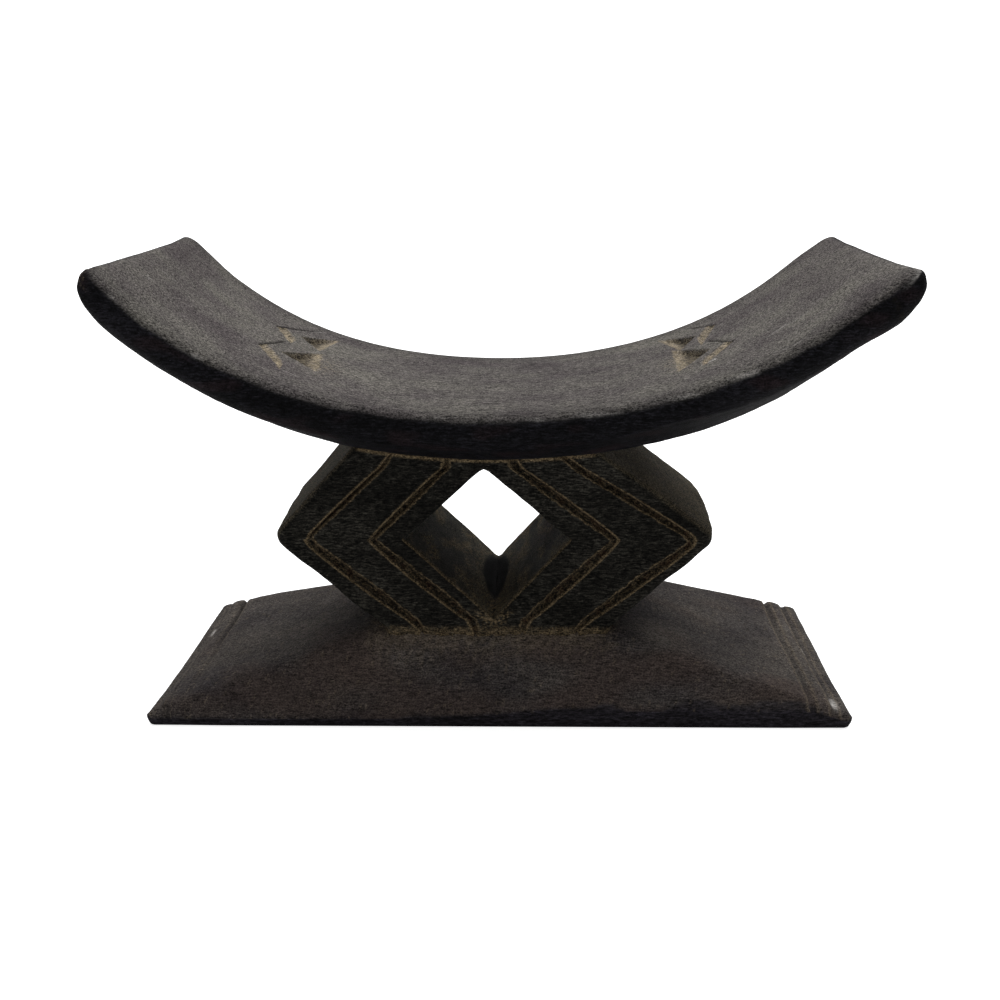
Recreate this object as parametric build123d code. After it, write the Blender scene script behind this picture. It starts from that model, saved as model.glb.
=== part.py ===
from build123d import *
import os
from math import atan, cos, hypot

# A carved neck rest on an openwork support and a domed base, cut from one block of wood.
# Lengths are in millimetres. X runs along the neck rest, Y from front to back, Z up.
# The origin is on the floor, under the middle of the overall box.

# overall sizes
base_length = 221.7          # along its front edge
base_depth = 74.0
neck_length = 220.6
neck_depth = 90.0
neck_middle_z = 101.0        # top of the neck rest at its lowest point

# neck rest
neck_shift = 1.3             # how far right of the origin its middle is
neck_waist = 4.5             # how much narrower each long edge is at the middle than at the ends
end_rise = 28.4              # rise of the top curve at the ends, from its square term
end_lift = 16.2              # further rise of the ends, from its fourth power term
end_lean = 1.5               # the right end stands higher than the middle by this, the left end lower
keel_thickness = 17.0        # thickness over the support, square to the top
end_thickness = 12.0         # the same at the ends
edge_thickness = 9.4         # height of the side faces
top_edge_round = 4.0
low_edge_round = 3.0
nose_round = 2.8
neck_corner_round = 5.0
section_count = 9
curve_points = 10            # points each side of the middle on a drawn curve

# openwork support: two chevrons standing tip to tip round a lozenge window
support_depth = 50.0
foot_left, foot_right = -36.5, 34.0
head_left, head_right = -46.5, 32.2
corner_left, corner_right = -69.3, 64.9
corner_rise = 30.9           # height of the corners above the foot
corner_round = 4.5
window_left, window_right = -29.4, 21.5
window_top_x, window_low_x = -4.5, -2.3
window_top_web = 2.7         # wood left above the window
window_low_web = 3.8         # wood left below it

# V grooves on both broad faces of the chevrons, as shares of the way from the outer to the inner edge
# at the head, the corner and the foot
left_grooves = [(0.32, 0.26, 0.34), (0.73, 0.755, 0.82)]
right_grooves = [(0.33, 0.14, 0.28), (0.76, 0.68, 0.74)]
upper_groove_half_width = 1.1
lower_groove_half_width = 1.5
groove_depth = 1.6

# base
base_shift = -1.1            # how far right of the origin the middle of its front edge is
back_left_inset = 3.3        # how much further in the back corners are than the front ones
back_right_inset = 0.9
foot_z = 27.5                # flat on which the support stands
base_end_thickness = 5.0
base_corner_round = 3.0
flat_end_margin = 2.0        # how far the flat runs past the support at each end
flat_side_margin = 0.5       # and at the front and back
back_edge_height = 8.0
front_edge_left = 5.0        # the front edge grows from left to right
front_edge_right = 13.0
end_groove_positions = [-98.5, 96.5, 103.7]
end_groove_half_width = 1.5
end_groove_depth = 1.2
faint_groove_position = -104.2
faint_groove_depth = 0.5

# chip carved triangles in the top of the neck rest, two deep and two shallow at each side
deep_chips = [
    [(-65.9, -8.2), (-57.1, 5.4), (-53.8, -14.5)],
    [(-65.3, 16.4), (-55.7, 28.3), (-57.8, 8.9)],
    [(63.5, -3.9), (54.3, 10.6), (53.1, -17.5)],
    [(62.3, 18.6), (52.6, 29.1), (56.8, 8.2)],
]
shallow_chips = [
    [(-71.8, -10.3), (-68.3, 2.2), (-62.5, -24.1)],
    [(-72.6, 16.1), (-63.4, 29.0), (-66.3, 5.2)],
    [(69.8, -6.3), (65.3, 5.9), (58.8, -19.5)],
    [(69.5, 22.6), (61.7, 30.1), (62.6, 5.0)],
]
deep_chip = 1.6
shallow_chip = 0.8

half_neck = neck_length / 2
neck_right = neck_shift + half_neck
base_left, base_right = base_shift - base_length / 2, base_shift + base_length / 2
keel_half_width = support_depth / 2
flat_half_depth = support_depth / 2 + flat_side_margin
flat_left, flat_right = foot_left - flat_end_margin, foot_right + flat_end_margin
head_z = neck_middle_z - keel_thickness
corner_z = foot_z + corner_rise
spare = 20.0                 # how far cutting tools run past the wood


def along_neck(x):
    # -1 at the left end of the neck rest, 1 at the right end
    return (x - neck_shift) / half_neck


def top_z(x):
    u = along_neck(x)
    return neck_middle_z + end_rise * u**2 + end_lift * u**4 + end_lean * u


def top_slope(x):
    u = along_neck(x)
    return (2 * end_rise * u + 4 * end_lift * u**3 + end_lean) / half_neck


def drop(thickness, x):
    # a thickness measured square to the top, as a vertical drop
    return thickness / cos(atan(top_slope(x)))


def neck_section(x):
    # boat-shaped: flat top, rounded edges, short sides, flanks sloping in to a flat keel
    u = along_neck(x)
    half = neck_depth / 2 - neck_waist * (1 - u**2)
    z = top_z(x)
    side = z - drop(edge_thickness, x)
    keel = z - drop(keel_thickness + (end_thickness - keel_thickness) * u**4, x)
    right = [(keel_half_width, keel), (half, side), (half, z)]
    with BuildSketch(Plane.YZ.offset(x)) as sketch:
        with BuildLine():
            Polyline(*[(-y, h) for y, h in right[::-1]], *right, close=True)
        make_face()
        fillet([v for v in sketch.vertices() if abs(v.Z - z) < 0.01], top_edge_round)
        fillet([v for v in sketch.vertices() if abs(v.Z - side) < 0.01], low_edge_round)
    return sketch.sketch


def slab(points, depth):
    # an outline in the front view, pushed half its depth to the front and half to the back
    with BuildPart() as piece:
        with BuildSketch(Plane.XZ):
            with BuildLine():
                Polyline(*points, close=True)
            make_face()
        extrude(amount=depth / 2, both=True)
    return piece.part


def neck_cutter(outline, depth):
    # the space above the lowered top curve, limited to an outline seen from above
    spots = [neck_shift + half_neck * i / curve_points for i in range(-curve_points, curve_points + 1)]
    low = [(x, top_z(x) - depth) for x in spots]
    ceiling = top_z(neck_right) + spare
    with BuildPart() as above:
        with BuildSketch(Plane.XZ):
            with BuildLine():
                Spline(*low)
                Polyline(low[-1], (low[-1][0], ceiling), (low[0][0], ceiling), low[0])
            make_face()
        extrude(amount=neck_depth, both=True)
    with BuildPart() as prism:
        with BuildSketch():
            with BuildLine():
                Polyline(*outline, close=True)
            make_face()
        extrude(amount=ceiling)
    return above.part & prism.part


def make_neck():
    spots = [neck_shift + half_neck * (2 * i / (section_count - 1) - 1) for i in range(section_count)]
    body = loft([neck_section(x) for x in spots])
    ends = [e for face in body.faces() for e in face.edges()
            if face.is_planar and abs(abs(face.center().X - neck_shift) - half_neck) < 0.01]
    body = fillet(ends, nose_round)
    with BuildPart() as plan:
        with BuildSketch():
            with Locations((neck_shift, 0)):
                RectangleRounded(neck_length, neck_depth, neck_corner_round)
        extrude(amount=top_z(neck_right))
    body = body & plan.part
    for chips, depth in ((deep_chips, deep_chip), (shallow_chips, shallow_chip)):
        for chip in chips:
            body -= neck_cutter(chip, depth)
    return body


def chevron_arm(head, corner, foot, window_corner, window_end, upper):
    # one arm of a chevron, from its corner up to the neck rest or down to the base
    if upper:
        end_x, end_z, inner_z = head, head_z, head_z - window_top_web
        stop_z = head_z + keel_thickness / 2
    else:
        end_x, end_z, inner_z = foot, foot_z, foot_z + window_low_web
        stop_z = foot_z / 2
    run = (stop_z - corner_z) / (end_z - corner_z)
    return slab([(corner, corner_z), (corner + (end_x - corner) * run, stop_z), (window_end, stop_z),
                 (window_end, inner_z), (window_corner, corner_z)], support_depth)


def round_corner(x, side):
    # the wedge of wood outside a rounded chevron corner
    up = ((head_left if side < 0 else head_right) - x, head_z - corner_z)
    down = ((foot_left if side < 0 else foot_right) - x, foot_z - corner_z)
    up = [c / hypot(*up) for c in up]
    down = [c / hypot(*down) for c in down]
    start = (x + up[0] * corner_round, corner_z + up[1] * corner_round)
    end = (x + down[0] * corner_round, corner_z + down[1] * corner_round)
    crest = ((start[0] + end[0] + 2 * x) / 4, (start[1] + end[1] + 2 * corner_z) / 4)
    with BuildPart() as wedge:
        with BuildSketch(Plane.XZ):
            with BuildLine():
                ThreePointArc(start, crest, end)
                Polyline(end, (x + side * spare, corner_z), start)
            make_face()
        extrude(amount=support_depth, both=True)
    return wedge.part


def v_groove(start, end, half_width, face):
    # a V cut along a line on the front (face = -1) or back (face = 1) of the support
    length = hypot(end[0] - start[0], end[1] - start[1])
    along = ((end[0] - start[0]) / length, 0, (end[1] - start[1]) / length)
    plane = Plane(origin=(start[0], face * support_depth / 2, start[1]), z_dir=along,
                  x_dir=(along[2], 0, -along[0]))
    out = face * plane.y_dir.Y
    with BuildPart() as cut:
        with BuildSketch(plane):
            with BuildLine():
                Polyline((-half_width, 0), (-half_width, out), (half_width, out), (half_width, 0),
                         (0, -groove_depth * out), close=True)
            make_face()
        extrude(amount=length)
    return cut.part


def grooves(head, corner, foot, window_corner, shares):
    cuts = []
    for at_head, at_corner, at_foot in shares:
        top = (head + (window_top_x - head) * at_head, head_z)
        mid = (corner + (window_corner - corner) * at_corner, corner_z)
        low = (foot + (window_low_x - foot) * at_foot, foot_z)
        for face in (-1, 1):
            cuts.append(v_groove(mid, top, upper_groove_half_width, face))
            cuts.append(v_groove(mid, low, lower_groove_half_width, face))
    return cuts


def make_base():
    half_depth = base_depth / 2
    side_view = slab([(base_left, 0), (base_right, 0), (base_right, base_end_thickness),
                      (flat_right, foot_z), (flat_left, foot_z), (base_left, base_end_thickness)],
                     base_depth)
    sections = []
    for x, front in ((base_left, front_edge_left), (base_right, front_edge_right)):
        with BuildSketch(Plane.YZ.offset(x)) as end:
            with BuildLine():
                Polyline((-half_depth, 0), (half_depth, 0), (half_depth, back_edge_height),
                         (flat_half_depth, foot_z), (-flat_half_depth, foot_z), (-half_depth, front),
                         close=True)
            make_face()
        sections.append(end.sketch)
    with BuildPart() as plan:
        with BuildSketch() as outline:
            with BuildLine():
                Polyline((base_left, -half_depth), (base_right, -half_depth),
                         (base_right - back_right_inset, half_depth),
                         (base_left + back_left_inset, half_depth), close=True)
            make_face()
            fillet(outline.vertices(), base_corner_round)
        extrude(amount=foot_z)
    body = side_view & loft(sections, ruled=True) & plan.part
    marks = [(x, end_groove_depth) for x in end_groove_positions]
    for x, depth in marks + [(faint_groove_position, faint_groove_depth)]:
        flat, end = (flat_left, base_left) if x < 0 else (flat_right, base_right)
        z = foot_z - (foot_z - base_end_thickness) * (x - flat) / (end - flat)
        body -= slab([(x - end_groove_half_width, z + depth), (x + end_groove_half_width, z + depth),
                      (x, z - depth)], base_depth)
    return body


neck_rest = make_neck()
base = make_base()
left = (head_left, corner_left, foot_left, window_left)
right = (head_right, corner_right, foot_right, window_right)
cuts = grooves(*left, left_grooves) + grooves(*right, right_grooves)
parts = {"neck_rest": neck_rest, "base": base}
for name, side, measures in (("left", -1, left), ("right", 1, right)):
    for level, window_end, upper in (("upper", window_top_x, True), ("lower", window_low_x, False)):
        arm = chevron_arm(*measures, window_end, upper)
        for cut in cuts:
            arm -= cut
        arm = arm - round_corner(measures[1], side) - neck_rest - base
        parts[f"{level}_{name}_arm"] = arm

os.makedirs("parts", exist_ok=True)
for name, solid in parts.items():
    export_step(solid, f"parts/{name}.step")
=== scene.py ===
# %% [markdown]
# # A carved headrest
# A headrest like this is cut from one block of dark wood with an adze and a knife: a curved neck
# rest, an openwork support of two chevrons, and a domed base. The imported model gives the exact
# shape of each part. This script loads it as a fixed frame and makes a sculpted mesh over every
# part, so that the knife work, the wear and the dust in the cuts can be seen.

# %% Load the frame
import math

import bmesh
import bpy
import numpy as np
from mathutils import Matrix, Vector, noise
from mathutils.bvhtree import BVHTree


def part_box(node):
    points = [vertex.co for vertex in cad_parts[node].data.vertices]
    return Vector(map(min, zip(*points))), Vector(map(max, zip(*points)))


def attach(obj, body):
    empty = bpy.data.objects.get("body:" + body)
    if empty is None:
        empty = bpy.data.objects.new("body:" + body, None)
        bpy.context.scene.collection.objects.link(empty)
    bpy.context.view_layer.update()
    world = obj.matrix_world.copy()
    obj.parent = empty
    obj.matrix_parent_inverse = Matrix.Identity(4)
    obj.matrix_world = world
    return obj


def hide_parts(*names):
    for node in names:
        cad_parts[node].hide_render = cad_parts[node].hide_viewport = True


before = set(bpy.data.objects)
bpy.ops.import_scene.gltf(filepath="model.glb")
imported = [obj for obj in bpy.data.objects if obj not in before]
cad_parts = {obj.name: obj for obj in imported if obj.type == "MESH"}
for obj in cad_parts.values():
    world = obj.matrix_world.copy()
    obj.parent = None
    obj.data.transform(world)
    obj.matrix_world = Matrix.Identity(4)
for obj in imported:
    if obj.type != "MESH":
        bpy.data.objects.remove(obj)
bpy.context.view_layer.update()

mm = 0.001

# %% [markdown]
# ## The camera
# The headrest is seen from the front, a little to the right of its middle and about 20 degrees
# from above, from close by. A lens as long as the sensor is wide gives that near, natural
# perspective. A small shift keeps the object where it stands in the frame.

# %% Camera
camera_data = bpy.data.cameras.new("camera")
camera_data.lens, camera_data.sensor_width = 36.0, 36.0
camera_data.shift_x, camera_data.shift_y = -0.019, 0.001
camera_data.clip_start, camera_data.clip_end = 0.01, 50.0
camera = bpy.data.objects.new("camera", camera_data)
camera.location = (10.8 * mm, -305.2 * mm, 176.2 * mm)
turn, look_down, roll = (math.radians(a) for a in (1.0, 20.56, -0.3))
aim = Matrix.Rotation(turn, 3, "Z") @ Matrix.Rotation(math.pi / 2 - look_down, 3, "X")
camera.rotation_euler = (aim @ Matrix.Rotation(roll, 3, "Z")).to_euler()
bpy.context.scene.collection.objects.link(camera)
bpy.context.scene.camera = camera
print("camera stands", round(camera.location.length, 3), "m from the origin")

# %% [markdown]
# ## Measuring the frame
# The sculpted pieces have to follow the frame exactly. A ray sent at a node's mesh finds where its
# surface is, so a row of rays measures a curve of it, such as the hollow of the neck rest. A
# polynomial through those points is then a smooth version of the curve that can be read anywhere.

# %% Rays
def surface(node):
    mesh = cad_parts[node].data
    return BVHTree.FromPolygons([v.co for v in mesh.vertices], [p.vertices for p in mesh.polygons])


def reach(tree, start, direction):
    hit = tree.ray_cast(Vector(start), Vector(direction))[0]
    return hit if hit else Vector((math.nan,) * 3)


def smooth_curve(xs, values, degree=4):
    good = ~np.isnan(values)
    return np.poly1d(np.polyfit(np.array(xs)[good], np.array(values)[good], degree))


neck_low, neck_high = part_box("neck_rest")
neck_tree = surface("neck_rest")
neck_middle, half_length = (neck_low.x + neck_high.x) / 2, (neck_high.x - neck_low.x) / 2
stations = neck_middle + np.linspace(-0.9 * half_length, 0.9 * half_length, 61)
side_y = -0.8 * neck_high.y
below_top = 5 * mm           # the height of the side is read here, clear of the rounded edge
from_edge, flank_fall = 2 * mm, 2 * mm     # the underside is read here, and has fallen this much
neck_top = smooth_curve(stations, [reach(neck_tree, (x, side_y, 1), (0, 0, -1)).z for x in stations])
neck_half = smooth_curve(
    stations, [-reach(neck_tree, (x, -1, neck_top(x) - below_top), (0, 1, 0)).y for x in stations], 2)
neck_keel = smooth_curve(
    stations, [neck_top(x) - reach(neck_tree, (x, 0, -1), (0, 0, 1)).z for x in stations])
edge_z = [reach(neck_tree, (x, from_edge - neck_half(x), -1), (0, 0, 1)).z for x in stations]
neck_edge = smooth_curve(stations, [neck_top(x) - z - flank_fall for x, z in zip(stations, edge_z)])
print("neck rest, mm: lowest", round(neck_top(0) / mm, 1), "half width", round(neck_half(0) / mm, 1),
      "keel", round(neck_keel(0) / mm, 1), "side", round(neck_edge(0) / mm, 1))

# %% [markdown]
# ## A fine block to sculpt
# Carving is modelled as a sculptor works: a block with many small faces is pushed into shape, and
# then cuts, dents and wear are pressed into it. The block is a cube whose edges are subdivided in
# each direction. Rows of vertices can be closer together where fine cuts come, so each direction
# has its own list of stations from 0 to 1.

# %% Block helpers
def spaced(*runs):
    # stations through (end, step) runs, starting at 0, then scaled to end at 1
    places = [0.0]
    for end, step in runs:
        count = max(1, round((end - places[-1]) / step))
        places += list(np.linspace(places[-1], end, count + 1)[1:])
    return np.array(places) / places[-1]


def block(stations):
    bm = bmesh.new()
    bmesh.ops.create_cube(bm, size=1.0)
    for axis in range(3):
        along = [e for e in bm.edges if abs(e.verts[0].co[axis] - e.verts[1].co[axis]) > 0.5]
        bmesh.ops.subdivide_edges(bm, edges=along, cuts=len(stations[axis]) - 2, use_grid_fill=True)
    mesh = bpy.data.meshes.new("block")
    bm.to_mesh(mesh)
    bm.free()
    unit = read_points(mesh) + 0.5
    for axis in range(3):
        steps = len(stations[axis]) - 1
        unit[:, axis] = stations[axis][np.rint(unit[:, axis] * steps).astype(int)]
    return mesh, unit


def read_points(mesh):
    points = np.zeros(len(mesh.vertices) * 3, np.float32)
    mesh.vertices.foreach_get("co", points)
    return points.reshape(-1, 3).astype(float)


def write_points(mesh, points):
    mesh.vertices.foreach_set("co", points.astype(np.float32).ravel())
    mesh.update()


def normals(mesh):
    values = np.zeros(len(mesh.vertices) * 3, np.float32)
    mesh.vertices.foreach_get("normal", values)
    return values.reshape(-1, 3).astype(float)


def rounded(points, half, radius):
    # points on a box of half sizes `half`, moved onto the same box with its edges rounded
    core = np.clip(points, -(half - radius), half - radius)
    away = (points - core) / radius
    length = np.linalg.norm(away, axis=1, keepdims=True)
    return core + away / np.maximum(length, 1.0) * radius


print("a 3 x 3 x 3 block has", len(block([np.linspace(0, 1, 4)] * 3)[0].vertices), "vertices")

# %% [markdown]
# ## Noise for hand work
# No carved surface is even. Three kinds of unevenness are pressed into the wood: broad waves where
# the knife drifted, shallow flats left by single strokes, and fine lines where soft grain wore away
# between hard grain. All come from the same noise, stretched along the grain by different amounts.

# %% Noise
wave_gap, cell_gap = 17.3, 9.1   # how far apart in the noise two seeds lie


def waves(points, size, stretch=(1, 1, 1), seed=0):
    scaled = points / (np.array(stretch) * size) + seed * wave_gap
    return np.array([noise.noise(p) for p in scaled.tolist()])


def step(value, low, high):
    t = np.clip((value - low) / (high - low), 0, 1)
    return t * t * (3 - 2 * t)


def knife_flats(points, size, stretch, seed):
    # cells of a few millimetres, each tilted its own way
    scaled = points / (np.array(stretch) * size) + seed * cell_gap
    return np.array([noise.voronoi(p)[0][0] for p in scaled.tolist()])


def store(mesh, **masks):
    for name, values in masks.items():
        layer = mesh.attributes.new(name, "FLOAT", "POINT")
        layer.data.foreach_set("value", np.clip(values, 0, 1).astype(np.float32))


def add_piece(name, mesh, slot, *nodes):
    mesh.name = name
    for face in mesh.polygons:
        face.use_smooth = True
    piece = bpy.data.objects.new(name, mesh)
    bpy.context.scene.collection.objects.link(piece)
    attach(piece, "root")
    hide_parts(*nodes)
    print(name, "has", len(mesh.polygons), "faces")
    return piece


# %% [markdown]
# ## The neck rest
# On the real piece the neck rest is a thick curved board with a boat-shaped underside and ends
# worn round by handling. It could be lofted through cross sections. Here a rounded block is laid
# along the measured curve instead: each vertex keeps its share of the width and thickness, and
# the flanks below are drawn in towards the keel, where the support begins.

# %% Neck rest shape
def bump_at(values, place, width):
    # 1 at a place, fading out smoothly on both sides of it
    return np.exp(-((values - place) / width) ** 2)


chip_start, chip_end = 50 * mm, 76 * mm
x_half = spaced((chip_start, 1.15 * mm), (chip_end, 0.48 * mm), (half_length - 6 * mm, 1.1 * mm),
                (half_length, 0.7 * mm))
x_spots = np.concatenate([0.5 - x_half[::-1] / 2, 0.5 + x_half[1:] / 2])
y_spots = spaced((5, 0.7), (17, 1.2), (79, 0.56), (85, 1.0), (90, 0.7))
z_spots = spaced((4, 0.7), (6, 1.0), (10, 0.7))
neck_mesh, unit = block([x_spots, y_spots, z_spots])

along = (2 * unit[:, 0] - 1) * half_length
x = neck_middle + along
# the hand-cut side is a little deeper on the left and shallower on the right
deeper, shallower = 1.5 * mm, 1.7 * mm
thickness = neck_edge(x) + deeper * bump_at(x, -68 * mm, 32 * mm)
thickness -= shallower * bump_at(x, 49 * mm, 20 * mm)
half = np.column_stack([np.full(len(x), half_length), neck_half(x), thickness / 2])
box = np.column_stack([along, (2 * unit[:, 1:] - 1) * half[:, 1:]])
nose = step(np.abs(along), half_length - 12 * mm, half_length)
back = step(unit[:, 1], 0.4, 0.6)
# the edges are rounded more at the ends, and most at the two far corners
radii = np.column_stack([np.full_like(nose, 6.0), 4.4 + 1.6 * back * nose, 4.4 + 1.4 * nose])
box = rounded(box, half, radii * mm)
down = 0.5 - box[:, 2] / thickness                           # 0 on the top, 1 underneath
# by hand, the right end droops a little, the left one lifts and both swell near their undersides
most_droop, most_lift, most_swell = 2.3 * mm, 1.6 * mm, 1.3 * mm
droop = most_droop * step(box[:, 0], half_length - 15 * mm, half_length)
lift = most_lift * step(-box[:, 0], half_length - 18 * mm, half_length - 4 * mm) * (1 - down)
swell = np.sign(along) * most_swell * nose ** 2 * bump_at(down, 0.8, 0.32)
x, y = neck_middle + box[:, 0] + swell, box[:, 1]
keel_half_width = 25 * mm
flank = np.clip((neck_half(x) - np.abs(y)) / (neck_half(x) - keel_half_width), 0, 1)
depth = (thickness / 2 - box[:, 2]) * (1 + (neck_keel(x) / thickness - 1) * flank)
neck = np.column_stack([x, y, neck_top(x) - depth - droop + lift])
write_points(neck_mesh, neck)
print("neck rest reaches, mm:", np.round(neck.max(0) / mm, 1))

# %% [markdown]
# ## Chip carving on the neck rest
# The carver took out triangles with slanting cuts. Each one is deepest along its far edge, where
# the knife went straight down, and rises to nothing at its near corner. A vertex inside a triangle
# is pushed down by how far it is from the sloping sides and how near it is to the deep edge. The
# shallow ones are little more than two knife lines with dust beside them. The deep end of each
# triangle and the line along each shallow wall are darkened in colour as painted shade.

# %% Chips
# three corners for each chip, in mm: the first two are the ends of the steep wall
deep_chips = [
    [(-65.9, -8.2), (-56.3, 5.2), (-53.6, -15.5)], [(-65.3, 16.4), (-55.0, 28.3), (-57.6, 7.5)],
    [(63.9, -3.9), (54.0, 10.6), (52.6, -18.0)], [(62.6, 18.6), (51.8, 29.1), (56.4, 6.8)]]
shallow_chips = [
    [(-71.8, -10.3), (-67.9, 2.4), (-62.0, -25.0)], [(-72.6, 16.1), (-63.4, 29.0), (-66.0, 4.4)],
    [(69.9, -6.3), (65.3, 5.9), (58.8, -20.0)], [(69.5, 22.6), (63.0, 30.1), (62.4, 4.6)]]
# start, end and strength of each scratch
scratches = [
    (-62.5, -24.6, -54.0, -27.0, 0.5), (59.2, -18.3, 63.1, -17.1, 1.2),
    (-63.4, 29.0, -60.0, 33.0, 0.5), (77.2, -18.9, 82.5, -17.2, 0.45),
    (82.5, -17.2, 85.1, -18.7, 0.4), (85.1, -18.7, 88.2, -17.9, 0.35),
    (75.8, -35.6, 81.6, -38.5, 0.35), (-100.5, -19.5, -99.6, -15.9, 0.4),
    (-100.4, -4.5, -96.5, -3.1, 0.3)]
# depths and widths in mm
deep_cut, deep_run, shallow_cut, line_cut = 2.0, 6.5, 1.0, 0.35
line_width, scratch_width = 0.5, 0.45


def distances(x, y, corners):
    # how far inside each side of an outline the points are
    corners = [Vector(c) for c in corners]
    middle = sum(corners, Vector((0, 0))) / len(corners)
    inside = []
    for a, b in zip(corners, corners[1:] + corners[:1]):
        across = Vector((a.y - b.y, b.x - a.x)).normalized()
        if across.dot(middle - a) < 0:
            across = -across
        inside.append(across.x * (x - a.x) + across.y * (y - a.y))
    return inside


def deep_chip(x, y, corners):
    # steep walls at the back and outside, and a floor that rises to nothing at the inner side
    wall, inner, outer = distances(x, y, corners)
    cut = deep_cut * step(wall, -0.1, 0.8) * step(outer, -0.1, 1.0)
    cut = cut * np.clip(inner / deep_run, 0, 1) ** 0.8
    dust = step(np.min([wall, inner, outer], axis=0), -0.3, 0.4)
    # the deep end of the floor, under the steep wall, is darkened in colour as painted shade
    dirt = dust * step(inner, 1.2, 4.6)
    return cut, dust * (1 - 0.6 * dirt), 0.85 * dirt


def shallow_chip(x, y, corners):
    # a wall at the back and another along the outside, with a floor that rises inwards
    wall, inner, outer = distances(x, y, corners)
    cut = shallow_cut * step(wall, -0.1, 0.6) * step(outer, -0.1, 0.7)
    cut = cut * (1 - step(outer, 0.6, 3.6)) * step(inner, -0.2, 0.6)
    dust = step(wall, -0.2, 0.4) * step(outer, -0.5, 0.1)
    dust = dust * (1 - step(outer, 2.2, 4.0)) * step(inner, -0.3, 0.4)
    # a knife line along the wall, pressed in a little and darkened in colour as the wall's painted
    # shadow
    line = bump_at(wall, 0, line_width) * step(outer, -1.0, 0.0) * step(inner, -1.0, 0.0)
    return np.maximum(cut, line_cut * line), dust, line


def scratch(x, y, x1, y1, x2, y2, strength):
    # fades with the distance from a straight line between two places
    run_x, run_y = x2 - x1, y2 - y1
    t = np.clip(((x - x1) * run_x + (y - y1) * run_y) / (run_x ** 2 + run_y ** 2), 0, 1)
    return strength * bump_at(np.hypot(x - x1 - t * run_x, y - y1 - t * run_y), 0, scratch_width)


on_top = step(unit[:, 2], 0.8, 0.95)
ragged = 0.35 * waves(neck, 2.2 * mm, seed=3)
chip_cut, chip_dust, chip_dirt = (np.zeros(len(x)) for _ in range(3))
for shape, chips in ((deep_chip, deep_chips), (shallow_chip, shallow_chips)):
    for corners in chips:
        cut, dust, dirt = shape(x / mm + ragged, y / mm + ragged, corners)
        chip_cut = np.maximum(chip_cut, cut * on_top)
        chip_dust = np.maximum(chip_dust, dust * on_top)
        chip_dirt = np.maximum(chip_dirt, dirt * on_top)
scratched = np.max([scratch(x / mm, y / mm, *line) for line in scratches], axis=0) * on_top
print("deepest chip", round(chip_cut.max(), 2), "mm")

# %% [markdown]
# ## Surface of the neck rest
# The top is polished by years of use and only gently wavy. The long sides and the underside keep
# their knife flats and a coarse grain. Masks go with the mesh: where the patina is worn pale, where
# dust lies, where edges are rubbed, and where the wood shows red.

# %% Neck rest surface
out = normals(neck_mesh)
lean = np.polyder(neck_top)(x)
up = (out[:, 2] - lean * out[:, 0]) / np.hypot(1, lean)      # 1 where the surface is the flat top
x, y = x / mm, y / mm
broad = waves(neck, 26 * mm, (2, 1, 1), 1)
flats = knife_flats(neck, 7 * mm, (2.6, 1, 0.8), 2)
grain = waves(neck, 1.1 * mm, (14, 1, 1), 4)
side = 1 - step(up, 0.25, 0.75)
end_face = step(np.abs(along), half_length - 5 * mm, half_length - mm)
# push is in mm, outwards
push = 0.22 * broad + (1 - side) * 0.05 * grain
push += (1 - 0.85 * end_face) * side * (0.30 * (flats - 0.35) + 0.10 * grain)
nick = step(waves(neck, 4 * mm, (1.8, 1, 1), 6), 0.36, 0.6) * bump_at(up, 0.3, 0.25)
push -= 0.4 * nick * (1 - end_face)
# the front corner of each end is worn, and the left one is broken open
nose_left = bump_at(np.hypot(x + 108.5, (y + 40) * 0.45), 0, 2.6) * step(0.62 - down, 0, 0.25)
nose_right = bump_at(np.hypot(x - 109.5, (y + 41) * 0.5), 0, 3.2)
push -= nose_left * (0.3 + 0.5 * waves(neck, 1.6 * mm, seed=24))
push -= 0.25 * scratched
# a hairline crack slants across the side near the right end
past_crack = x - 104 + 0.6 * (neck[:, 2] / mm - 133)
crack = bump_at(y, -43, 3) * bump_at(past_crack, 0, 0.5) * side
neck = neck + out * (push * mm)[:, None]
neck[:, 2] -= chip_cut * mm
write_points(neck_mesh, neck)

drift = waves(neck, 3.5 * mm, (3, 1, 1), 7)
cloud = waves(neck, 18 * mm, (1.6, 1, 1), 25)
from_side = step(neck_half(neck[:, 0]) / mm - np.abs(y), 2, 15)
level = np.interp(x, [-110, -60, 0, 60, 110], [0.91, 0.94, 0.80, 0.90, 1.04])
worn = step(up + 0.10 * drift + 0.05 * cloud, 0.46, 0.99)
patina = level * worn * (0.72 + 0.28 * from_side) * (1 - 0.6 * nose_left)
fine = step(waves(neck, 0.9 * mm, seed=8), -0.5, 0.4)
halo = bump_at(np.abs(x), 54, 6) * bump_at(y, -8, 11) * 0.35
dusty = np.maximum.reduce(
    [chip_dust * (0.35 + 0.6 * fine), halo * fine * (1 - side), nose_left * 0.35 * fine])
fray = bump_at(up, 0.75, 0.16) * step(waves(neck, 3 * mm, (4, 1, 1), 9), 0.1, 0.5) * 0.22
fray = np.maximum.reduce([fray, bump_at(up, 0.55, 0.22) * nose_right * 0.6, scratched * 0.75])
red = np.maximum(0.5 * side * step(waves(neck, 5 * mm, (2, 1, 1), 11), 0.0, 0.6), nose_left)
# painted shade in the chips, and the hairline crack drawn as a dark line
dirt = np.maximum(chip_dirt, crack)
store(neck_mesh, patina=patina, dust=dusty, wear=fray, red=red, dirt=dirt)
neck_piece = add_piece("carved_neck_rest", neck_mesh, "neck_wood", "neck_rest")

# %% [markdown]
# ## The chevrons
# The support is pierced by a lozenge window, which leaves a chevron on each side. Each one is
# an arrow-shaped bar, so a block fits it well: its height runs from the foot through the corner
# to the head, and its width from the window to the outer edge. Rays measure both edges.

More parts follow.
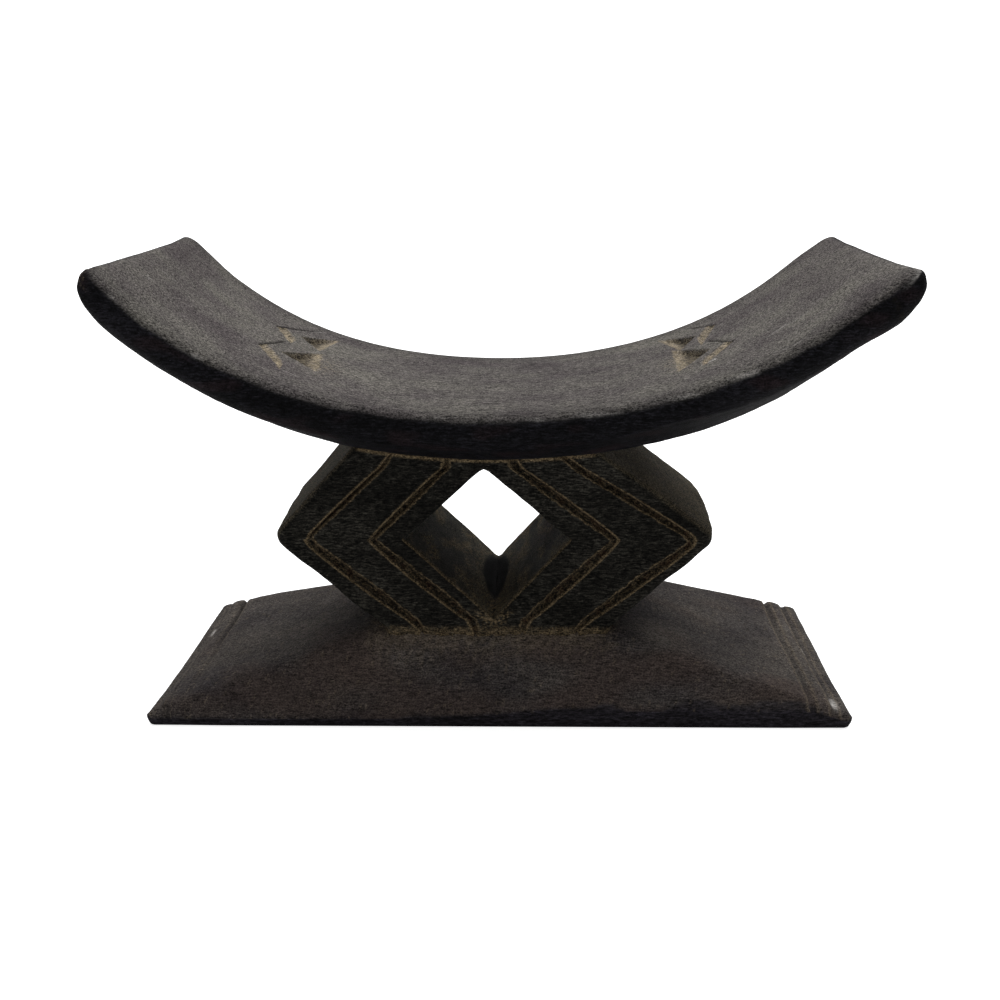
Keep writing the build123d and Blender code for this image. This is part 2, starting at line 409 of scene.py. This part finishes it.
# %% Measuring the chevrons
arms = {side: {level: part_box(f"{level}_{side}_arm") for level in ("upper", "lower")}
        for side in ("left", "right")}
corner_z = arms["left"]["upper"][0].z
foot_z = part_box("base")[1].z
half_depth = arms["left"]["upper"][1].y
window_top_x, window_low_x = arms["left"]["upper"][1].x, arms["left"]["lower"][1].x
hair = 0.05 * mm             # rays start this far from a face that they must not graze
trees = {(side, level): surface(f"{level}_{side}_arm") for side in arms for level in arms[side]}
window_top = reach(trees["left", "upper"], (window_top_x - hair, 0, corner_z + mm), (0, 0, 1)).z
window_low = reach(trees["left", "lower"], (window_low_x - hair, 0, corner_z - mm), (0, 0, -1)).z
window_side = {
    name: reach(trees[name, "upper"], (window_top_x, 0, corner_z + hair), (sign, 0, 0)).x
    for name, sign in (("left", -1), ("right", 1))}
print("window, mm: top", round(window_top / mm, 1), "low", round(window_low / mm, 1),
      "sides", {k: round(v / mm, 1) for k, v in window_side.items()})


def edges(name, sign):
    # the outer and inner edge of a chevron, as functions of height; the outer one runs on upwards
    heights = np.linspace(foot_z + 0.3 * mm, neck_top(0) - neck_keel(0) - 0.5 * mm, 120)
    run_on = 12 * mm
    outer = [reach(trees[name, "upper" if z > corner_z else "lower"], (sign, 0, z), (-sign, 0, 0)).x
             for z in heights]
    slope = (outer[-1] - outer[-8]) / (heights[-1] - heights[-8])
    heights, outer = [*heights, heights[-1] + run_on], [*outer, outer[-1] + run_on * slope]
    inner_z = [window_low, corner_z, window_top]
    inner_x = [window_low_x, window_side[name], window_top_x]
    return lambda z: np.interp(z, heights, outer), lambda z: np.interp(z, inner_z, inner_x)


# %% [markdown]
# ## The cut lines
# Two V cuts follow each arm of each chevron, on both broad faces. They were made freehand: each is
# widest near its middle, runs out to a point, and has one crisp lip and one broken one. A cut is
# pressed in by how far a vertex is from its centre line, with a width that changes along the arm,
# and its inside is darkened in colour as painted shade.

# %% Chevron sculpting
# shares of the way from outer to inner edge at head, corner and foot, then the half widths in mm
# of the upper and of the lower cut
cut_lines = {
    "left": [(0.32, 0.26, 0.34, 0.80, 1.85), (0.73, 0.755, 0.82, 1.05, 1.75)],
    "right": [(0.33, 0.14, 0.28, 1.55, 1.7), (0.76, 0.68, 0.74, 1.60, 1.6)],
}
bulge = {"left": 1.6 * mm, "right": 3.6 * mm}
overlap = 0.5 * mm           # how far each chevron runs into the other above and below the window
foot_sunk = 4 * mm           # and how far its foot is sunk in the base
head_sunk, head_rise = 1.6 * mm, 3.2 * mm  # its head, at the window and further at the outer edge
lower_wider = 1.05           # the lower cuts are this much wider than listed
slant = 0.74                 # a level step across a cut, measured square to the cut instead


def chevron_shape(name, sign, unit):
    # vertices on the chevron: share is 0 at the outer edge and 1 at the window
    outer, inner = edges(name, sign)
    share = unit[:, 0] if sign < 0 else 1 - unit[:, 0]
    head = neck_top(0) - neck_keel(0) + head_sunk + (1 - share) * head_rise
    w = unit[:, 2] * 2
    low = foot_z - foot_sunk
    z = np.where(w < 1, low + (corner_z - low) * w, corner_z + (head - corner_z) * (w - 1))
    web = np.maximum(1 - step(z, window_low - 0.2 * mm, window_low + 1.2 * mm),
                     step(z, window_top - 1.2 * mm, window_top + 0.2 * mm))
    x_out, x_in = outer(z), inner(z) - sign * overlap * web
    width = np.abs(x_out - x_in)
    flat = np.column_stack([(share - 0.5) * width, (2 * unit[:, 1] - 1) * half_depth, z * 0])
    half = np.column_stack([width / 2, np.full(len(z), half_depth), np.ones(len(z))])
    # the outer edges are rounded most, and at the webs the two chevrons meet with sharp ones
    lip = (1.3 + 0.5 * waves(np.column_stack([z, z * 0, z * 0]), 6 * mm, seed=5)) * mm
    lip = np.where(share < 0.5, lip * 2.2, np.maximum(lip * 0.9 * (1 - web), 0.06 * mm))
    flat = rounded(flat, half, np.column_stack([lip, lip, np.ones(len(z))]))
    share, y = flat[:, 0] / width + 0.5, flat[:, 1]
    y = y * (1 - 0.006 * web * step(share, 1 - 1.6 * overlap / width, 1 - overlap / width))
    x = x_out + (x_in - x_out) * share
    # the outer face swells at mid depth
    swell = 1 - ((y - 3 * mm) / (half_depth + 9 * mm)) ** 2
    swell *= step(z, foot_z + 4 * mm, corner_z + 3 * mm)
    swell *= 1 - step(z, corner_z + 14 * mm, corner_z + 28 * mm)
    x = x + sign * bulge[name] * swell * (1 - share) ** 2
    return np.column_stack([x, y, z]), share, width, head.min(), web


def cut_marks(name, points, share, width, head):
    # depth, lip and floor of the cut lines, each from 0 to 1
    z = points[:, 2]
    broken = waves(points * (1, 0, 1), 1.6 * mm, seed=21)
    up = z > corner_z
    along = np.where(up, (z - corner_z) / (head - corner_z), (corner_z - z) / (corner_z - foot_z))
    # lens is 1 near the middle of an arm and 0 at its ends; the lower cuts are the more pointed
    lens = np.clip(np.sin(np.pi * np.clip(along * 0.93 + 0.05, 0, 1)), 0, 1)
    lens = lens ** np.where(up, 0.5, 0.8)
    cut, lips, floor = (np.zeros(len(z)) for _ in range(3))
    for at_head, at_corner, at_foot, upper_half, lower_half in cut_lines[name]:
        line = np.interp(z, [foot_z, corner_z, head], [at_foot, at_corner, at_head])
        wide = np.where(up, upper_half, lower_half * lower_wider) * (0.3 + 0.7 * lens)
        off = (line - share) * width / mm * slant
        near = np.abs(off) / (wide * (1 + np.where(off > 0, 0.08, 0.3) * broken))
        cut = np.maximum(cut, np.clip(1.25 * (1 - near), 0, 1) * (0.5 + 0.5 * lens))
        lips = np.maximum(lips, bump_at(near, 1.0, 0.36 / wide) * np.where(off > 0, 1.0, 0.7))
        floor = np.maximum(floor, step(1 - near, 0.1, 0.5))
    return cut, lips, floor


def carve_chevron(name, sign):
    across, deep, tall = spaced((40, 0.30)), spaced((3, 0.5), (47, 1.1), (50, 0.5)), spaced((60, 0.32))
    mesh, unit = block([across, deep, tall])
    points, share, width, head, web = chevron_shape(name, sign, unit)
    write_points(mesh, points)
    out = normals(mesh)
    x, y, z = points.T
    face = step(np.abs(out[:, 1]), 0.6, 0.95)
    cut, lips, floor = (mask * face for mask in cut_marks(name, points, share, width, head))

    flats = knife_flats(points, 8 * mm, (2.2, 1, 0.7), 12)
    grain = waves(points, 0.6 * mm, (14, 4, 1), 13)
    rough = step(foot_z + 3.5 * mm - z, 0, 4 * mm)
    edge = bump_at(np.abs(out[:, 1]), 0.7, 0.2) * (1 - web * step(share, 0.6, 0.9))
    chipped = edge * step(waves(points, 3.5 * mm, seed=14), 0.25, 0.6) * step(share, 0.4, 0.6)
    inner_wall = step(share, 0.9, 0.99) * (1 - face) * (1 - web)
    outer_wall = step(1 - share, 0.75, 1.0) * (1 - step(np.abs(out[:, 1]), 0.45, 0.98))
    lower = step(corner_z - z, -2 * mm, 2 * mm)
    # a gouge where the knife met the bottom of the window at mid depth
    gouge = bump_at(z, window_low + 0.5 * mm, 3.4 * mm) * bump_at(y, 6 * mm, 14 * mm)
    gouge = gouge * step(share, 0.7, 0.9)
    # push is in mm, outwards
    push = 0.35 * (flats - 0.35) + face * 0.12 * grain * (1 - cut)
    push += 0.25 * waves(points, 14 * mm, seed=15) - 0.5 * chipped + 0.18 * lips
    push += rough * 0.6 * waves(points, 2.2 * mm, seed=16) - 0.8 * gouge
    push += cut * (0.22 * waves(points, 1.3 * mm, (2, 1, 1), 17) - 1.6)
    points = points + out * (push * mm)[:, None]
    write_points(mesh, points)

    fine = step(waves(points, 0.8 * mm, seed=18), -0.5, 0.4)
    under_neck = neck_top(x) - neck_keel(x)
    seam = bump_at(z, under_neck - 0.3 * mm, 0.6 * mm) * face
    foot = step(foot_z + 2.8 * mm - z, 0, 3.2 * mm)
    foot = foot * (0.55 + 0.45 * step(waves(points, 2.2 * mm, seed=19), -0.3, 0.4))
    valley = bump_at(z, window_low, 3 * mm) * step(-y, -2 * mm, 10 * mm) * step(share, 0.85, 0.95)
    smear = step(waves(points, 5 * mm, (1, 2, 1), 27), -0.2, 0.4)
    rim = inner_wall * bump_at(np.abs(y), half_depth, 1.6 * mm)
    near_low = inner_wall * bump_at(z, window_low, 9 * mm)
    clear = 1 - step(gouge, 0.1, 0.35)
    dusty = np.maximum.reduce([
        lips * (0.70 + 0.2 * fine), floor * (0.07 + 0.25 * fine), seam * 0.7, foot * (0.42 + 0.3 * fine),
        valley * 0.8 * fine * clear, near_low * clear * 0.45 * fine,
        inner_wall * lower * smear * clear * 0.5 * fine, rim * lower * 0.55, chipped * 0.3 * fine,
        outer_wall * (1 - lower) * 0.2])
    patina = np.maximum.reduce([
        outer_wall * (1 - lower) * (0.75 + 0.25 * smear), inner_wall * lower * (0.25 + 0.5 * smear),
        near_low])
    # red heartwood shows in one patch of the window's right wall, and along the cuts
    patch = np.array([window_side["right"], 4 * mm, corner_z - 8 * mm])
    red = inner_wall * lower * bump_at(np.linalg.norm(points - patch, axis=1), 0, 9 * mm)
    red = np.maximum(red, floor * step(waves(points, 2.5 * mm, seed=23), 0.0, 0.4) * 0.8)
    # the cut lines and the gouge are darkened in colour as painted shade in their recesses
    dirt = np.maximum(cut * 0.75, step(gouge, 0.15, 0.4))
    store(mesh, patina=patina, dust=dusty, wear=edge * fine * 0.06, red=red, dirt=dirt)
    arm_nodes = f"upper_{name}_arm", f"lower_{name}_arm"
    return add_piece(f"carved_{name}_chevron", mesh, "support_wood", *arm_nodes)


chevrons = [carve_chevron("left", -1), carve_chevron("right", 1)]

# %% [markdown]
# ## The base
# The base is a board whose top rises from thin edges to the foot of the support. In the frame it
# has four flat slopes; the real one flows from slope to slope. So the block's top is dropped onto
# the frame with rays, its vertices are averaged with their neighbours until the ridges go soft,
# and then the ends are thinned to a rim and the front edge is cut to a steep facet.

# %% Base shape
base_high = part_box("base")[1]
base_tree = surface("base")
depth_y = base_high.y
rows, ray_height = [-0.8 * depth_y, 0, 0.8 * depth_y], 2 * mm
ends = {}
for name, sign in (("left", -1), ("right", 1)):
    end_x = [reach(base_tree, (sign, y, ray_height), (-sign, 0, 0)).x for y in rows]
    ends[name] = np.poly1d(np.polyfit(rows, end_x, 1))
print("base runs, mm: from", round(ends["left"](0) / mm, 1), "to", round(ends["right"](0) / mm, 1))
x_spots = spaced((16, 0.55), (203, 0.9), (219, 0.55))
y_spots = spaced((4, 0.6), (70, 0.8), (74, 0.6))
base_mesh, unit = block([x_spots, y_spots, spaced((1, 0.125))])
half = np.array([base_high.x, depth_y, mm])
flat = (2 * unit - 1) * half
flat[:, 2] = 0
corner_radius = 2.8 * mm
flat = rounded(flat, half, np.array([corner_radius, corner_radius, mm]))
y = flat[:, 1]
share = flat[:, 0] / base_high.x / 2 + 0.5
x = ends["left"](y) + (ends["right"](y) - ends["left"](y)) * share
inwards = 0.9985             # so that no ray passes beside the frame's edge
top = np.array([reach(base_tree, (a * inwards, b * inwards, 1), (0, 0, -1)).z for a, b in zip(x, y)])
base = np.column_stack([x, y, top * unit[:, 2]])
write_points(base_mesh, base)


def soften(mesh, passes):
    # average the height of every vertex above the bottom rows with its neighbours
    bottom_rows = 1.2 * mm
    bm = bmesh.new()
    bm.from_mesh(mesh)
    soft = [v for v in bm.verts if v.co.z > bottom_rows]
    only_height = {"use_axis_x": False, "use_axis_y": False, "use_axis_z": True}
    for _ in range(passes):
        bmesh.ops.smooth_vert(bm, verts=soft, factor=0.5, **only_height)
    bm.to_mesh(mesh)
    bm.free()
    return read_points(mesh)


base = soften(base_mesh, 45)
# the board dips a little at the back, left of the support
dip = 1.6 * mm * bump_at(x, -52 * mm, 16 * mm) * step(y, 5 * mm, 30 * mm)
base[:, 2] -= dip * unit[:, 2]
# the ends are worn down to a thin round rim
inside = np.minimum(x - ends["left"](y), ends["right"](y) - x)
rim_width, rim_rise, rim_slope = 4 * mm, 2.8 * mm, 1.3
rim = (1.9 + 1.5 * step(y, -10 * mm, 25 * mm)) * mm + rim_slope * (inside - rim_width).clip(0)
rim += rim_rise * np.sqrt(np.clip(1 - (1 - inside / rim_width).clip(0) ** 2, 0, 1))
# the front edge is a steep facet, low on the left and higher on the right
facet_height = np.interp(x / mm, [-110, -20, 20, 98, 108], [2.3, 2.8, 6.2, 6.0, 2.3]) * mm
front_slope = 2.15
rim = np.minimum(rim, facet_height + front_slope * (depth_y + y))
base[:, 2] = np.minimum(base[:, 2], rim * unit[:, 2])
write_points(base_mesh, base)
base = soften(base_mesh, 6)
# underneath, the front and back edges and the ends are drawn in, most at the corners
low_rim = 2.4 * mm
inset = (0.2 + 0.2 * step(np.abs(x), 85 * mm, 108 * mm)) * mm
inset = inset * np.clip(1 - base[:, 2] / low_rim, 0, 1) ** 2
base[:, 1] *= 1 - inset / depth_y
base[:, 0] -= np.sign(x) * inset * step(np.abs(x), 80 * mm, 108 * mm)
write_points(base_mesh, base)
print("base rises to", round(base[:, 2].max() / mm, 1), "mm")

# %% [markdown]
# ## Surface of the base
# Round grooves run across the board near its ends, two on the right and a deep and a faint one on
# the left. They could be cut with swept tools, but hand-cut grooves wander and fade, the deep left
# one most of all, so they are pressed in as troughs with raised lips, and darkened in colour as
# painted shade. The front facet stays dark, dust gathers round the foot of the support, and bare
# spots show on the thin end rims.

# %% Base surface
out = normals(base_mesh)
up = out[:, 2]
x, y, z = base.T
above = step(unit[:, 2], 0.9, 1.0)
# centre at the middle of the end, half width, depth, and how much it fades towards the front, in mm
grooves = [
    (96.7, 1.5, 1.1, 0.1), (103.6, 1.5, 1.0, 0.1), (-98.5, 1.4, 1.3, 0.75), (-104.4, 1.0, 0.4, 0.2)]
groove_cut, groove_lip = np.zeros(len(x)), np.zeros(len(x))
wander = 0.5 * waves(np.column_stack([x, y, x * 0]), 16 * mm, seed=31)
for place, wide, deep, fade in grooves:
    fading = 1 - fade * step(-y / mm, -20, 12)
    near = np.abs(x / mm - place + wander) / (wide * (0.4 + 0.6 * fading))
    groove_cut = np.maximum(groove_cut, deep * fading * (1 - step(near, 0, 1)) * above)
    groove_lip = np.maximum(groove_lip, bump_at(near, 1.1, 0.35) * above * np.where(x > 0, 1, 0.6))
flats = knife_flats(base, 10 * mm, (2.0, 1, 1), 32)
grain = waves(base, 1.0 * mm, (14, 1, 1), 33)
foot_x = (arms["left"]["lower"][1].x + arms["right"]["lower"][0].x) / 2 - mm
foot_half_length = 36 * mm
past_foot_x = np.maximum(np.abs(x - foot_x) - foot_half_length, 0)
from_foot = np.hypot(past_foot_x, np.maximum(np.abs(y) - half_depth, 0))
rough = np.exp(-from_foot / (3.0 * mm)) * above
swell = sum(bump_at(x / mm, place, 2.2) for place in (100.1, 107.0, -101.5)) * above
side = 1 - step(up, 0.2, 0.6)
# push is in mm, outwards
push = 0.30 * waves(base, 24 * mm, (2, 1, 1), 34) + 0.30 * (flats - 0.35)
push += 0.08 * grain * (0.5 + 0.5 * side)
push += rough * 0.8 * waves(base, 2.4 * mm, seed=35) + 0.30 * swell - groove_cut
push *= step(z, 0.2 * mm, 2 * mm)
base = base + out * (push * mm)[:, None]
base[:, 2] = np.maximum(base[:, 2], 0)
write_points(base_mesh, base)
fine = step(waves(base, 0.9 * mm, (1.4, 1, 1), 36), -0.4, 0.4)
ends_mask = step(np.abs(x), 93 * mm, 98 * mm)
cloud = waves(base, 14 * mm, (1.8, 1, 1), 40)
# the facet is dark up to a wandering height, except for one worn patch
dark_height = facet_height / mm * 1.1 + np.interp(x / mm, [22, 36, 92, 104], [0, 2.0, 2.0, 0])
dark_height += 1.8 * waves(base, 8 * mm, (1.6, 1, 1), 43) - 4 * bump_at(x / mm, 46, 9)
facet = step(dark_height - z / mm, -0.5, 0.5) * step(-y, 24 * mm, 28 * mm)
patina = above * (0.85 + 0.40 * cloud + 0.20 * ends_mask)
patina = patina * (1 - 0.7 * facet) * step(up, 0.1, 0.4)
speckle = above * step(waves(base, 1.1 * mm, seed=39), 0.38, 0.55)
dusty = np.maximum.reduce([rough * (0.25 + 0.6 * fine), groove_lip * 0.4, speckle * 0.3])
# place and radius of each bare spot, in mm; they are longer along the rim than across it
bare_spots = [(104.6, -32.5, 1.5), (102.6, -1, 0.9), (-104.5, 12, 1.3)]
spots = np.max([bump_at(np.hypot((x / mm - spot_x) * 1.6, (y / mm - spot_y) * 0.6), 0, radius)
                for spot_x, spot_y, radius in bare_spots], axis=0)
handled = ends_mask * step(waves(base, 4 * mm, (1, 2.5, 1), 37), 0.2, 0.6) * 0.08
rub = np.maximum(handled * above, spots * above)
front = step(-y, 18 * mm, 30 * mm)
red = above * step(waves(base, 12 * mm, (2.2, 1, 1), 38) + 0.25 * front, -0.1, 0.6)
red = red * (0.4 + 0.3 * front) * (1 - facet)
# the grooves are darkened in colour as painted shade, and the front facet is darkened as well
dirt = np.maximum(groove_cut * np.where(x > 0, 0.25, 0.6), facet * 0.25)
store(base_mesh, patina=patina, dust=dusty, wear=rub, red=red, dirt=dirt)
base_piece = add_piece("carved_base", base_mesh, "base_wood", "base")

# %% [markdown]
# ## Grain, shared by all three woods
# Wood shows lines along its grain and cloudy patches across it. Both are noise: one squeezed into
# long streaks, one left round. The group also gives a third, speckled value for dust and pores, so
# that every finish can break up its edges in the same way.

# %% Grain group
def add_node(tree, kind, links=None, **settings):
    # a node with its properties set and its inputs filled from a dictionary of values or sockets
    made = tree.nodes.new(kind)
    for key, value in settings.items():
        setattr(made, key, value)
    for key, value in (links or {}).items():
        if isinstance(value, bpy.types.NodeSocket):
            tree.links.new(value, made.inputs[key])
        else:
            made.inputs[key].default_value = value
    return made


def group(name, inputs, outputs):
    tree = bpy.data.node_groups.new(name, "ShaderNodeTree")
    for label, kind, value in inputs:
        socket = tree.interface.new_socket(label, in_out="INPUT", socket_type=kind)
        if value is not None:
            socket.default_value = value
    for label, kind in outputs:
        tree.interface.new_socket(label, in_out="OUTPUT", socket_type=kind)
    return tree, tree.nodes.new("NodeGroupInput").outputs, tree.nodes.new("NodeGroupOutput").inputs


def stretched_noise(tree, place, scale, stretch, detail, roughness, distortion):
    mapped = add_node(tree, "ShaderNodeMapping", {"Vector": place, "Scale": stretch})
    texture = add_node(tree, "ShaderNodeTexNoise", {
        "Vector": mapped.outputs["Vector"], "Scale": scale, "Detail": detail, "Roughness": roughness,
        "Distortion": distortion})
    return texture.outputs[0]


# scale per metre, stretch, detail, roughness and distortion of each noise
noises = {"Streaks": (1900.0, (0.24, 0.8, 1.15), 2.0, 0.6, 0.6),
          "Clouds": (60.0, (0.55, 1.0, 1.0), 6.0, 0.62, 0.0),
          "Specks": (2500.0, (0.8, 1.0, 1.0), 1.0, 0.6, 0.0)}
grain_group, given, result = group(
    "wood grain",
    [("Place", "NodeSocketVector", None)],
    [(label, "NodeSocketFloat") for label in noises])
for label, values in noises.items():
    grain_group.links.new(stretched_noise(grain_group, given["Place"], *values), result[label])
print("grain group has", len(grain_group.nodes), "nodes")

# %% [markdown]
# ## Age, shared by all three woods
# Handling wears the dark stain away to grey brown, dust fills the cuts with tan, and here and
# there the red heartwood shows. The deep parts of the cuts are darkened too, partly dirt and partly
# painted shade. Each of these has its own mask on the mesh. The group lays them over a stain colour
# in turn, and breaks each up with the grain so that no edge looks painted.

# %% Age group
age_group, given, result = group(
    "age and dust",
    [(label, "NodeSocketColor", None) for label in ("Stain", "Worn", "Red", "Dirt and shade", "Rubbed", "Dust")]
    + [(label, "NodeSocketFloat", 0.5) for label in (*noises, "Grit")],
    [("Colour", "NodeSocketColor"), ("Dustiness", "NodeSocketFloat")])


def sum_of(tree, operation, *values, **settings):
    # the result of one sum, whose terms are numbers or sockets
    node = add_node(tree, "ShaderNodeMath", dict(enumerate(values)), operation=operation, **settings)
    return node.outputs[0]


def broken_mask(tree, layer, texture, softness):
    # a mesh mask whose edge follows a texture
    mask = add_node(tree, "ShaderNodeAttribute", attribute_name=layer).outputs["Fac"]
    shifted = sum_of(tree, "SUBTRACT", texture, 0.5)
    pushed = sum_of(tree, "MULTIPLY_ADD", shifted, softness, mask)
    # where the mask is empty it stays empty
    gate = add_node(tree, "ShaderNodeMapRange", {"Value": mask, 1: 0.02, 2: 0.25, 3: 0.0, 4: 1.0})
    return sum_of(tree, "MULTIPLY", pushed, gate.outputs[0], use_clamp=True)


# each layer's mask, the texture that breaks it up, how softly, and its colour
# the third layer darkens chips, cuts and grooves, partly as dirt and partly as painted shade
layers = [("patina", "Streaks", 0.35, "Worn"), ("red", "Clouds", 0.8, "Red"),
          ("dirt", "Specks", 0.6, "Dirt and shade"), ("wear", "Clouds", 1.4, "Rubbed"),
          ("dust", "Specks", 0.65, "Dust")]
colour = given["Stain"]
for layer, texture, softness, over in layers:
    amount = broken_mask(age_group, layer, given[texture], softness)
    mix = add_node(age_group, "ShaderNodeMix", data_type="RGBA")
    for place, socket in ((0, amount), (6, colour), (7, given[over])):
        age_group.links.new(socket, mix.inputs[place])
    colour = mix.outputs[2]
# grit: each speck and fibre is a little lighter or darker than the colour under it
darkest = 0.2
pores = sum_of(age_group, "ADD", given["Specks"], given["Streaks"])
shade = sum_of(age_group, "MULTIPLY_ADD", sum_of(age_group, "SUBTRACT", pores, 1.0), given["Grit"], 1.0)
shade = sum_of(age_group, "MAXIMUM", shade, darkest)
shaded = add_node(age_group, "ShaderNodeVectorMath", {0: colour, "Scale": shade}, operation="SCALE")
age_group.links.new(shaded.outputs[0], result["Colour"])
age_group.links.new(amount, result["Dustiness"])
print("age group has", len(age_group.nodes), "nodes")

# %% [markdown]
# ## The woods
# All three materials are the same stained hardwood with different wear. The stain itself is
# not even: its shade changes with the streaks and the clouds. It's rougher where dust lies, and
# fine grain lines and specks stand up in a bump.

# %% Wood materials
def shades(tree, factor, colours, places):
    # a smooth scale of colours, read at factor
    ramp = add_node(tree, "ShaderNodeValToRGB")
    scale = ramp.color_ramp
    while len(scale.elements) < len(colours):
        scale.elements.new(0.5)
    for element, place, colour in zip(scale.elements, places, colours):
        element.position, element.color = place, (*colour, 1)
    tree.links.new(factor, ramp.inputs[0])
    return ramp.outputs["Color"]


def blended(tree, a, b, share):
    # a * share + b * (1 - share)
    return sum_of(tree, "MULTIPLY_ADD", b, 1 - share, sum_of(tree, "MULTIPLY", a, share))


noise_range = (0.38, 0.5, 0.62)  # where most of a noise lies
rubbed = (0.40, 0.38, 0.36)


def wood(name, stain, contrast, worn, red, dirt, dust, grit, bump):
    # contrast is how dark and light the stain gets; worn holds three shades of bare wood
    material = bpy.data.materials.new(name)
    material.use_nodes = True
    tree = material.node_tree
    shader = tree.nodes["Principled BSDF"]
    place = add_node(tree, "ShaderNodeTexCoord").outputs["Object"]
    grain = add_node(tree, "ShaderNodeGroup", node_tree=grain_group)
    tree.links.new(place, grain.inputs["Place"])
    textures = {label: grain.outputs[label] for label in noises}
    age = add_node(tree, "ShaderNodeGroup", node_tree=age_group)
    fibre = blended(tree, textures["Streaks"], textures["Clouds"], 0.5)
    cloud = blended(tree, textures["Clouds"], textures["Specks"], 0.7)
    stains = [tuple(c * k for c in stain) for k in contrast]
    tree.links.new(shades(tree, fibre, stains, noise_range), age.inputs["Stain"])
    tree.links.new(shades(tree, cloud, worn, noise_range), age.inputs["Worn"])
    for label, colour in (("Red", red), ("Dirt and shade", dirt), ("Rubbed", rubbed), ("Dust", dust)):
        age.inputs[label].default_value = (*colour, 1)
    age.inputs["Grit"].default_value = grit
    for label, socket in textures.items():
        tree.links.new(socket, age.inputs[label])
    tree.links.new(age.outputs["Colour"], shader.inputs["Base Color"])
    rough = add_node(tree, "ShaderNodeMapRange", {"Value": age.outputs["Dustiness"], 3: 0.72, 4: 0.95})
    tree.links.new(rough.outputs[0], shader.inputs["Roughness"])
    shader.inputs["Specular IOR Level"].default_value = 0.06
    relief = blended(tree, textures["Streaks"], textures["Specks"], 0.55)
    bumped = add_node(tree, "ShaderNodeBump", {"Height": relief, "Strength": bump, "Distance": 0.6 * mm})
    tree.links.new(bumped.outputs["Normal"], shader.inputs["Normal"])
    return material


# the colour given for dirt and shade darkens chips, cuts and grooves: partly dirt, partly painted shade
neck_wood = wood(
    "worn neck wood", stain=(0.0043, 0.0041, 0.0052), contrast=(0.3, 0.9, 2.3),
    worn=[(0.080, 0.068, 0.069), (0.113, 0.102, 0.096), (0.148, 0.138, 0.121)],
    red=(0.014, 0.008, 0.009), dirt=(0.0075, 0.006, 0.0045), dust=(0.26, 0.215, 0.150),
    grit=3.0, bump=0.8)
support_wood = wood(
    "dusty support wood", stain=(0.0125, 0.0117, 0.0096), contrast=(0.3, 0.85, 2.6),
    worn=[(0.026, 0.023, 0.0165), (0.050, 0.044, 0.031), (0.082, 0.072, 0.050)],
    red=(0.034, 0.014, 0.008), dirt=(0.0018, 0.0017, 0.0020), dust=(0.150, 0.110, 0.062),
    grit=3.6, bump=1.0)
base_wood = wood(
    "handled base wood", stain=(0.021, 0.019, 0.024), contrast=(0.4, 0.9, 1.9),
    worn=[(0.042, 0.036, 0.037), (0.064, 0.056, 0.051), (0.092, 0.080, 0.070)],
    red=(0.060, 0.044, 0.038), dirt=(0.0075, 0.006, 0.0045), dust=(0.160, 0.128, 0.092),
    grit=2.6, bump=0.8)
neck_piece.data.materials.append(neck_wood)
for piece in chevrons:
    piece.data.materials.append(support_wood)
base_piece.data.materials.append(base_wood)
print("materials:", [m.name for m in (neck_wood, support_wood, base_wood)])

# %% [markdown]
# ## Floor and light
# The piece stands on plain white paper. A broad, soft sun shines down from a little behind, so the
# worn top is bright and the front stays dark, lit mostly by what the paper throws back. The paper
# glows faintly to the eye alone, which keeps it white without lighting the wood any more.

# %% Stage
bm = bmesh.new()
bmesh.ops.create_grid(bm, x_segments=1, y_segments=1, size=12.0)
floor_mesh = bpy.data.meshes.new("floor")
bm.to_mesh(floor_mesh)
bm.free()
floor = bpy.data.objects.new("floor", floor_mesh)
floor.location.z = -0.2 * mm
bpy.context.scene.collection.objects.link(floor)
paper = bpy.data.materials.new("white paper")
paper.use_nodes = True
sheet = paper.node_tree.nodes["Principled BSDF"]
sheet.inputs["Base Color"].default_value = (0.86, 0.86, 0.86, 1)
sheet.inputs["Roughness"].default_value = 1.0
sheet.inputs["Specular IOR Level"].default_value = 0.0
sheet.inputs["Emission Color"].default_value = (1, 1, 1, 1)
to_eye = add_node(paper.node_tree, "ShaderNodeLightPath").outputs["Is Camera Ray"]
glow = sum_of(paper.node_tree, "MULTIPLY", to_eye, 0.75)
paper.node_tree.links.new(glow, sheet.inputs["Emission Strength"])
floor_mesh.materials.append(paper)

sun_data = bpy.data.lights.new("soft sun", "SUN")
sun_data.energy, sun_data.angle = 3.1, math.radians(75)
sun = bpy.data.objects.new("soft sun", sun_data)
sun.rotation_euler = (math.radians(-22), math.radians(6), 0)
bpy.context.scene.collection.objects.link(sun)
world = bpy.data.worlds.new("studio")
world.use_nodes = True
bpy.context.scene.world = world
sky = world.node_tree
for old in list(sky.nodes):
    sky.nodes.remove(old)
seen = add_node(sky, "ShaderNodeBackground", {"Color": (1, 1, 1, 1), "Strength": 1.1})
dim = add_node(sky, "ShaderNodeBackground", {"Color": (1, 1, 1, 1), "Strength": 0.25})
direct = add_node(sky, "ShaderNodeLightPath").outputs["Is Camera Ray"]
blend = add_node(sky, "ShaderNodeMixShader", {0: direct, 1: dim.outputs[0], 2: seen.outputs[0]})
add_node(sky, "ShaderNodeOutputWorld", {"Surface": blend.outputs[0]})
bpy.context.scene.view_settings.view_transform = "Standard"
print("sun strength", sun_data.energy, "spread over", round(math.degrees(sun_data.angle)), "degrees")
